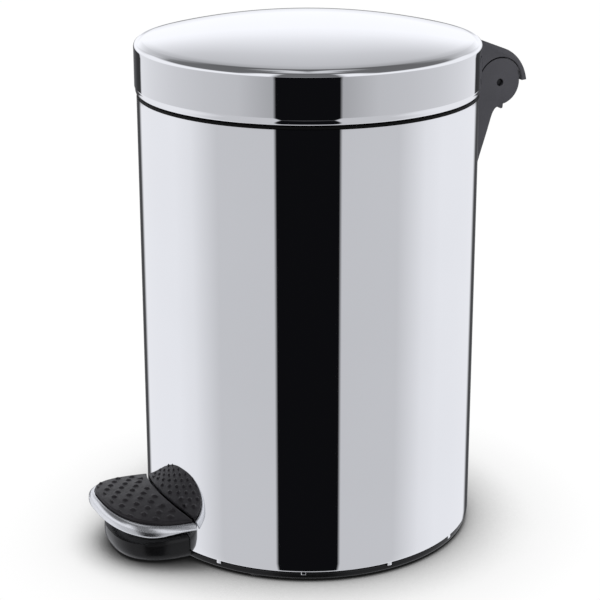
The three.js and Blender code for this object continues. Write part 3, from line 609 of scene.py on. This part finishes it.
def studs(x, y):
    """Height of the pad's staggered round studs."""
    across, along, radius, height = 7.825, 11.54, 2.35, 1.25
    column = round(x / across)
    offset = 0.0 if column % 2 else along / 2
    from_row = (y + 131.9 + offset + along / 2) % along - along / 2
    away = math.hypot(x - column * across, from_row) / radius
    inside = abs(x) < PAD_HALF - 5 and y > 5 - PAD_TIP and math.hypot(x, y) > BODY_R + PAD_GAP + 4
    return height * (1 - away * away) ** 0.7 if away < 1 and inside else 0.0


def crowned_layer(outlines, lift, count):
    """Rings from the outermost (out, gap, drop) outline inwards, following the pedal's crown."""
    centre = PAD_WIDEST + 25
    rings = []
    for out, gap, drop in outlines:
        rings.append([(x, y, pad_height(x, y) - drop) for x, y in pad_outline(out, gap)])
    out, gap, drop = outlines[-1]
    flat = pad_outline(out, gap)
    for i in range(count - 1, 0, -1):
        share = i / count
        ring = [(x * share, (y + centre) * share - centre) for x, y in flat]
        rings.append([(x, y, pad_height(x, y) - drop + lift(x, y)) for x, y in ring])
    return rings


def no_lift(x, y):
    return 0.0


def crowned_slab(name, outlines, bottom, material, lift=no_lift, count=8):
    """Closed slab under crowned rings, its underside that far below the crown."""
    top = crowned_layer(outlines, lift, count)
    under = crowned_layer([(*outlines[0][:2], bottom)], no_lift, count)
    return lofted(name, top[::-1] + under, material, sharp=60.0)


def rubber_pad():
    """Studded pad with a rounded edge."""
    edge = [(0, 0, 0.9), (-0.15, 0.15, 0.35), (-0.6, 0.6, 0.06), (-1.2, 1.2, 0)]
    outlines = [(out, PAD_GAP + gap, drop) for out, gap, drop in edge]
    return crowned_slab("rubber_pad", outlines, 4.0, PAD_RUBBER, studs, 84)


def pedal_pan():
    """Bull-nosed rim round the pad on a pressed plate; the rim's skirt is shallower at the body."""
    section = [
        (0.5, -5), (0.5, -2.5), (0.75, -2.2), (1.3, -2.1), (2.2, -2.35), (3.1, -2.95), (3.9, -3.85),
        (4.45, -4.9), (4.72, -6), (4.8, -7.2), (4.8, -8.6), (4.66, -9.6), (4.3, -10.25), (3.8, -10.5),
        (3.35, -10.2), (3.2, -9.2), (3.15, -5.7), (0.5, -5.7),
    ]
    steps = 220
    rings = []
    for i in range(-1, steps + 2):
        ring = []
        for out, depth in section:
            x, y = rim_point(out, math.pi * min(max(i, 0), steps) / steps)
            if i in (-1, steps + 1):
                y = -math.sqrt((BODY_R + PAD_GAP + 0.2) ** 2 - x * x)
            share = min(max((-y - 122) / 32, 0), 1)
            skirt = 0.25 + 0.75 * share * share * (3 - 2 * share)
            lower = min(depth + 4.4, 0)
            ring.append((x, y, pad_height(x, y) + depth - lower + lower * skirt))
        rings.append(ring)
    rim = lofted("rim", rings, CHROME, sharp=50.0)
    plate = crowned_slab("plate", [(0.9, PAD_GAP + 0.2, 4.3)], 5.7, CHROME)
    return merged("pedal_pan", [rim, plate])


# ---------- bucket ----------

FLANGE_LOW = 329.8
FLANGE_HIGH = 331.8
BUCKET_WALL = 1.8
CHANNEL_HALF = 14.0


def bucket_ring(radius, height, channel, steps=180):
    """Level of the bucket: a circle with a square channel down the back."""
    half = CHANNEL_HALF
    corner = math.asin(half / radius)
    points = []
    for i in range(steps + 1):
        points.append(around(radius, height, -math.pi + corner + (2 * math.pi - 2 * corner) * i / steps))
    for x in (half, half - 0.7, half - 2.2, 0, 2.2 - half, 0.7 - half, -half):
        inset = 0.8 if abs(x) == half else 0.0
        points.append((x, min(channel + inset, math.sqrt(radius * radius - x * x)), height))
    return points


def liner_bucket():
    """Tapered bucket with a rolled lip, a channel for the crank and two ears for the bail."""
    wide, mouth, channel = 104, 110, 105.5
    corner = 4
    start = BUCKET_FLOOR + corner
    taper = (mouth - wide) / (FLANGE_LOW - start)
    turn = arc(wide - corner, start, corner, -90, 0, 6)
    outer = [bucket_ring(radius, z, channel) for radius, z in turn]
    for z in (120, 180, 240, 300, 318):
        outer.append(bucket_ring(wide + taper * (z - start), z, channel))
    lip = [
        (109.8, 327.6), (110.6, 329.2), (112, FLANGE_LOW), (117.2, FLANGE_LOW), (117.8, 330.1), (118, 330.8),
        (117.8, 331.5), (117.2, FLANGE_HIGH), (109.6, FLANGE_HIGH), (108.6, 331.3), (108.1, 330.2),
    ]
    outer += [bucket_ring(radius, z, channel) for radius, z in lip[:9]]
    wall = channel - BUCKET_WALL
    inner = [bucket_ring(radius, z, wall) for radius, z in lip[9:]]
    for z in (318, 300, 240, 180, 120):
        inner.append(bucket_ring(wide + taper * (z - start) - BUCKET_WALL, z, wall))
    corner = 3.4
    turn = arc(wide - BUCKET_WALL - corner, BUCKET_FLOOR + BUCKET_WALL + corner, corner, 0, -90, 6)
    inner += [bucket_ring(radius, z, wall) for radius, z in turn]
    body = lofted("body", outer + inner, BUCKET, sharp=40.0)
    profile = [(-5, FLANGE_HIGH - 0.5), (5, FLANGE_HIGH - 0.5), *arc(0, BAIL_Z, 4, 0, 180, 16)]
    ears = []
    for left in (108.4, -111.2):
        ear = extruded("ear", profile, left, left + 2.8, BUCKET)
        hole = extruded("hole", arc(0, BAIL_Z, 2.2, 0, 360, 24)[:-1], left - 1, left + 4, BUCKET)
        ears.append(bevelled(cut(ear, hole), 0.4, 2))
    return merged("liner_bucket", [body, *ears])


def tube(name, points, radius, material, factors=None):
    """Round bar along millimetre points, its radius scaled by a factor at each."""
    curve = bpy.data.curves.new(name, "CURVE")
    curve.dimensions = "3D"
    curve.bevel_depth = radius * MM
    curve.bevel_resolution = 6
    curve.use_fill_caps = True
    spline = curve.splines.new("POLY")
    spline.points.add(len(points) - 1)
    for i, point in enumerate(points):
        spline.points[i].co = (*(Vector(point) * MM), 1)
        spline.points[i].radius = factors[i] if factors else 1
    shape = bpy.data.objects.new(name + "_path", curve)
    bpy.context.scene.collection.objects.link(shape)
    graph = bpy.context.evaluated_depsgraph_get()
    mesh = bpy.data.meshes.new_from_object(shape.evaluated_get(graph))
    bpy.data.objects.remove(shape)
    return finished(bpy.data.objects.new(name, mesh), material, 50.0)


BAIL_R = 115.3


def bail_point(angle):
    """Point on the bail's sweep, from the right-hand ear round the front."""
    return (BAIL_R * math.cos(angle), -BAIL_R * math.sin(angle), BAIL_Z)


def bail():
    """Wire round the front of the rim, its ends turned in through the bucket's ears."""
    bend, steps = 8.0, 96
    start = math.asin(bend / BAIL_R)
    sweep = [bail_point(start + (math.pi - 2 * start) * i / steps) for i in range(steps + 1)]
    turn = []
    for i in range(11):
        share = i / 10
        x = BAIL_R - 4 * (1 - share) ** 2
        turn.append((x, -bend * share * share, BAIL_Z))
    left = [(-x, y, z) for x, y, z in reversed(turn)]
    return tube("bail", [(106.8, 0, BAIL_Z), *turn[:-1], *sweep, *left[1:], (-106.8, 0, BAIL_Z)], 1.8, PLATED)


def bail_sleeve():
    """Grip on the wire, with finger ribs round it."""
    half, steps = 0.36, 160
    points, factors = [], []
    for i in range(steps + 1):
        share = 2 * i / steps - 1
        points.append(bail_point(math.pi / 2 + half * share))
        end = min((1 - abs(share)) / 0.03, 1)
        rib = 0.06 * math.cos(share * math.pi * 22)
        factors.append(0.72 + 0.22 * math.sqrt(end) + rib * (abs(share) < 0.9))
    return tube("bail_sleeve", points, 3.4, GLOSS_BLACK, factors)


# ---------- CAD pieces kept in shape, with eased edges ----------


def eased(node, body, slot, material, width):
    """The node's own shape with its flats joined up and its edges rounded."""
    source = bpy.data.objects[node]
    piece = bpy.data.objects.new(node + "_fine", source.data.copy())
    finished(piece, material)
    work = bmesh.new()
    work.from_mesh(piece.data)
    bmesh.ops.remove_doubles(work, verts=work.verts, dist=2e-6)
    bmesh.ops.dissolve_limit(work, angle_limit=math.radians(1), verts=work.verts, edges=work.edges)
    work.to_mesh(piece.data)
    work.free()
    if piece.data.has_custom_normals:
        piece.data.attributes.remove(piece.data.attributes["custom_normal"])
    bevelled(piece, width, 2)
    return dress(piece, body, slot, node)


# For each body: a CAD node, its material slot, its look and the width of its eased edges.
EASED = {
    "bin_body": [
        ("base_plate", "plain_steel", PLATED, 0.2),
        ("pedal_bracket", "plain_steel", PLATED, 0.3),
        ("pedal_pivot_pin", "plain_steel", PLATED, 0.4),
        ("rod_guide_lower", "black_plastic", GLOSS_BLACK, 0.3),
        ("rod_guide_upper", "black_plastic", GLOSS_BLACK, 0.3),
        ("hinge_pin", "plain_steel", BLACKED, 0.4),
        ("hinge_backing_plate", "plain_steel", PLATED, 0.2),
        *[(f"rubber_foot_{i}", "rubber", RUBBER, 0.3) for i in range(1, 5)],
        *[(f"bracket_screw_{i}", "plain_steel", PLATED, 0.15) for i in range(1, 5)],
    ],
    "pedal": [
        ("pedal_lever", "plain_steel", PLATED, 0.4),
        ("pedal_rivet_1", "plain_steel", PLATED, 0.3),
        ("pedal_rivet_2", "plain_steel", PLATED, 0.3),
    ],
    "lift_rod": [
        ("lift_rod", "plain_steel", PLATED, 0.4),
        ("rod_head", "black_plastic", GLOSS_BLACK, 0.4),
        ("rod_collar", "plain_steel", PLATED, 0.3),
    ],
    "lid": [
        ("crank_pin", "plain_steel", PLATED, 0.3),
        ("lid_screw_1", "plain_steel", PLATED, 0.15),
        ("lid_screw_2", "plain_steel", PLATED, 0.15),
        *[(f"lid_bumper_{i}", "rubber", RUBBER, 0.3) for i in range(1, 4)],
    ],
}

for body, rows in EASED.items():
    for node, slot, material, width in rows:
        eased(node, body, slot, material, width)

dress(body_shell(), "bin_body", "mirror_steel", "outer_shell")
dress(trim_ring(), "bin_body", "black_plastic", "top_trim_ring")
dress(base_moulding(), "bin_body", "black_plastic", "base_ring")
dress(hinge_cheeks(), "bin_body", "grey_plastic", "hinge_bracket")
dress(lid_skin(), "lid", "mirror_steel", "lid_shell")
dress(inner_lid(), "lid", "black_plastic", "lid_liner")
dress(hood(), "lid", "grey_plastic", "hinge_arm")
dress(rubber_pad(), "pedal", "pedal_rubber", "pedal_pad")
dress(pedal_pan(), "pedal", "pedal_chrome", "pedal_tray")
dress(liner_bucket(), "bucket", "bucket_plastic", "inner_bucket")
dress(bail(), "bail", "plain_steel", "bail_wire")
dress(bail_sleeve(), "bail", "black_plastic", "bail_grip")

# ---------- camera ----------

AZIMUTH = math.radians(63.5)
DISTANCE = 10.07 * BODY_R * MM
EYE_HEIGHT = 4.79 * BODY_R * MM
PITCH = math.radians(17.71)
TO_CAMERA = Vector((math.sin(AZIMUTH), -math.cos(AZIMUTH), 0))
TO_RIGHT = Vector((math.cos(AZIMUTH), math.sin(AZIMUTH), 0))

FOCAL_LENGTH = 104.94
SHIFT = (-0.0133, -0.05)

lens = bpy.data.cameras.new("camera")
lens.lens = FOCAL_LENGTH
lens.shift_x, lens.shift_y = SHIFT
camera = bpy.data.objects.new("camera", lens)
camera.location = TO_CAMERA * DISTANCE + Vector((0, 0, EYE_HEIGHT))
camera.rotation_euler = (math.pi / 2 - PITCH, 0, AZIMUTH)
bpy.context.scene.collection.objects.link(camera)
bpy.context.scene.camera = camera

# ---------- studio ----------


def grey(level):
    """Scene-linear value of a display level from 0 to 255."""
    share = level / 255
    return ((share + 0.055) / 1.055) ** 2.4 if share > 0.04 else share / 12.92


def fed(tree, socket, value):
    """Sets a socket to a plain value, or links another node's output to it."""
    if isinstance(value, bpy.types.NodeSocket):
        tree.links.new(value, socket)
    else:
        socket.default_value = value


def math_node(tree, operation, *values):
    node = tree.nodes.new("ShaderNodeMath")
    node.operation = operation
    for socket, value in zip(node.inputs, values):
        fed(tree, socket, value)
    return node.outputs["Value"]


def stepped(tree, value, low, high, stops):
    """Grey ramp of (position, display level) stops over low to high."""
    ranged = tree.nodes.new("ShaderNodeMapRange")
    ranged.inputs["From Min"].default_value = low
    ranged.inputs["From Max"].default_value = high
    tree.links.new(value, ranged.inputs["Value"])
    ramp = tree.nodes.new("ShaderNodeValToRGB")
    tree.links.new(ranged.outputs["Result"], ramp.inputs["Fac"])
    elements = ramp.color_ramp.elements
    for i, (position, level) in enumerate(stops):
        element = elements[i] if i < 2 else elements.new(1)
        element.position = (position - low) / (high - low)
        element.color = (*[grey(level)] * 3, 1)
    return ramp.outputs["Color"]


def mixed(tree, share, a, b, blend="MIX"):
    """Colour a where the share is 0 and b, or a blended with b, where it is 1."""
    node = tree.nodes.new("ShaderNodeMix")
    node.data_type = "RGBA"
    node.blend_type = blend
    fed(tree, node.inputs["Factor"], share)
    first, second = [socket for socket in node.inputs if socket.type == "RGBA"]
    fed(tree, first, a)
    fed(tree, second, b)
    return next(socket for socket in node.outputs if socket.type == "RGBA")


def dotted(tree, vector, axis):
    """Dot product of a vector socket with a fixed axis."""
    node = tree.nodes.new("ShaderNodeVectorMath")
    node.operation = "DOT_PRODUCT"
    tree.links.new(vector, node.inputs[0])
    node.inputs[1].default_value = axis
    return node.outputs["Value"]


PANEL_BLACK = (grey(14), grey(14), grey(16), 1)
COOL_TINT = (0.975, 0.985, 1.03, 1)
WHITE = (1, 1, 1, 1)

# Display levels of the lower walls, by degrees of turn.
PALE = [(0, 203), (62, 205), (84, 236), (100, 243)]
DIM = [(0, 168), (25, 175), (46, 197), (69, 203), (95, 213), (125, 227), (141, 235)]
STRIP = [(148, 243), (154.5, 74), (161, 72), (168, 104), (175, 128), (180, 136)]
WIDE_STRIP = [(143.5, 52), (151, 58), (159, 84), (166, 110), (173, 128), (180, 136)]

# Display levels of the upper walls and the ceiling, by degrees of rise.
DUSK = [(0, 262), (19, 262), (23, 254), (28, 236), (34, 212), (41, 192)]
CEILING = [(76, 104), (82, 200), (90, 215)]
HIGH_CEILING = [(63, 104), *CEILING]


def bearings(tree):
    """Degrees of turn, from the front at 0 round either side to 180, and of rise above level."""
    direction = tree.nodes.new("ShaderNodeTexCoord").outputs["Generated"]
    front = dotted(tree, direction, TO_CAMERA)
    side = math_node(tree, "ABSOLUTE", dotted(tree, direction, TO_RIGHT))
    up = dotted(tree, direction, (0, 0, 1))
    turn = math_node(tree, "DEGREES", math_node(tree, "ARCTAN2", side, front))
    rise = math_node(tree, "DEGREES", math_node(tree, "ARCSINE", up))
    return turn, rise


def fade(tree, value, low, high, start, end):
    """0 below start and 1 above end, for a value that runs from low to high."""
    return stepped(tree, value, low, high, [(low, 0), (start, 0), (end, 255), (high, 255)])


def lower_walls(tree, turn, rise):
    """Pale walls with a dark strip at the back, a dimmer band for the lid's skirt, and a black panel
    in front. The band starts level with the gap under the lid, a little higher as the turn grows."""
    walls = stepped(tree, turn, 0, 180, [*PALE, *STRIP])
    raised = stepped(tree, turn, 0, 180, [*DIM, *WIDE_STRIP])
    clear = stepped(tree, turn, 0, 180, [*PALE, (180, 243)])
    level = math_node(tree, "SUBTRACT", rise, math_node(tree, "MULTIPLY", turn, 1.25 / 180))
    walls = mixed(tree, fade(tree, level, -20, 0, -13.32, -13.08), walls, raised)
    walls = mixed(tree, fade(tree, rise, -20, 0, -5, -3), walls, clear)
    across = stepped(tree, turn, 0, 60, [(0, 255), (20.5, 255), (22.5, 0), (60, 0)])
    upright = [(-90, 0), (-52, 0), (-46, 255), (-5, 255), (-1, 90), (30, 90)]
    panel = math_node(tree, "MULTIPLY", across, stepped(tree, rise, -90, 30, upright))
    return mixed(tree, panel, walls, PANEL_BLACK)


def upper_walls(tree, turn, rise):
    """Grey screen in front, white walls that end at different heights, and a darker ceiling."""
    away = math_node(tree, "MINIMUM", math_node(tree, "SUBTRACT", 180, turn), 14)
    lift = math_node(tree, "MULTIPLY", math_node(tree, "MULTIPLY", away, away), 0.065)
    rear = stepped(tree, math_node(tree, "ADD", rise, lift), 0, 90, [*DUSK, *HIGH_CEILING])
    side_wall = stepped(tree, rise, 0, 90, [(0, 252), (26, 252), (37, 112), *CEILING])
    front_wall = stepped(tree, rise, 0, 90, [(0, 250), (46, 250), *HIGH_CEILING])
    screen = stepped(tree, rise, 0, 90, [(0, 112), (50, 112), *HIGH_CEILING])
    above = mixed(tree, fade(tree, turn, 0, 180, 19, 25), screen, front_wall)
    above = mixed(tree, fade(tree, turn, 0, 180, 38, 52), above, side_wall)
    return mixed(tree, fade(tree, turn, 0, 180, 135, 148), above, rear)


def room():
    """The studio that the steel reflects. The camera sees plain white behind the bin."""
    world = bpy.data.worlds.new("room")
    world.use_nodes = True
    bpy.context.scene.world = world
    tree = world.node_tree
    turn, rise = bearings(tree)
    low = lower_walls(tree, turn, rise)
    above = upper_walls(tree, turn, rise)
    whole = mixed(tree, fade(tree, rise, -10, 20, -2, 4), low, above)
    whole = mixed(tree, 1.0, whole, COOL_TINT, "MULTIPLY")
    rays = tree.nodes.new("ShaderNodeLightPath")
    seen = mixed(tree, rays.outputs["Is Camera Ray"], whole, WHITE)
    background = tree.nodes["Background"]
    tree.links.new(seen, background.inputs["Color"])
    background.inputs["Strength"].default_value = 1.0


def floor():
    """White glowing floor with a painted shadow that darkens it close to the bin. The steel doesn't reflect
    it.
    """
    mesh = bpy.data.meshes.new("floor")
    reach = 14.0
    work = bmesh.new()
    bmesh.ops.create_grid(work, x_segments=8, y_segments=8, size=reach)
    work.to_mesh(mesh)
    work.free()
    plane = bpy.data.objects.new("floor", mesh)
    bpy.context.scene.collection.objects.link(plane)
    material, tree, shader = node_material("floor")
    closeness = tree.nodes.new("ShaderNodeAmbientOcclusion")
    closeness.inputs["Distance"].default_value = 0.11
    closeness.samples = 16
    # Painted shadow: display levels of the floor's glow by ambient occlusion, dark where the bin is close.
    painted_shadow_stops = [(0, 5), (0.3, 34), (0.45, 104), (0.6, 192), (0.8, 245), (1, 256)]
    shade = stepped(tree, closeness.outputs["AO"], 0, 1, painted_shadow_stops)
    shader.inputs["Base Color"].default_value = (0, 0, 0, 1)
    shader.inputs["Specular IOR Level"].default_value = 0.0
    tree.links.new(shade, shader.inputs["Emission Color"])
    shader.inputs["Emission Strength"].default_value = 1.0
    mesh.materials.append(material)
    plane.visible_glossy = False


def overhead():
    """Broad soft light from above, for the black and grey parts."""
    light = bpy.data.lights.new("overhead", "SUN")
    light.energy = 1.9
    light.angle = math.radians(75)
    lamp = bpy.data.objects.new("overhead", light)
    lamp.rotation_euler = (math.radians(14), math.radians(10), 0)
    lamp.visible_glossy = False
    bpy.context.scene.collection.objects.link(lamp)


room()
floor()
overhead()
bpy.context.scene.view_settings.view_transform = "Standard"

bpy.context.view_layer.update()
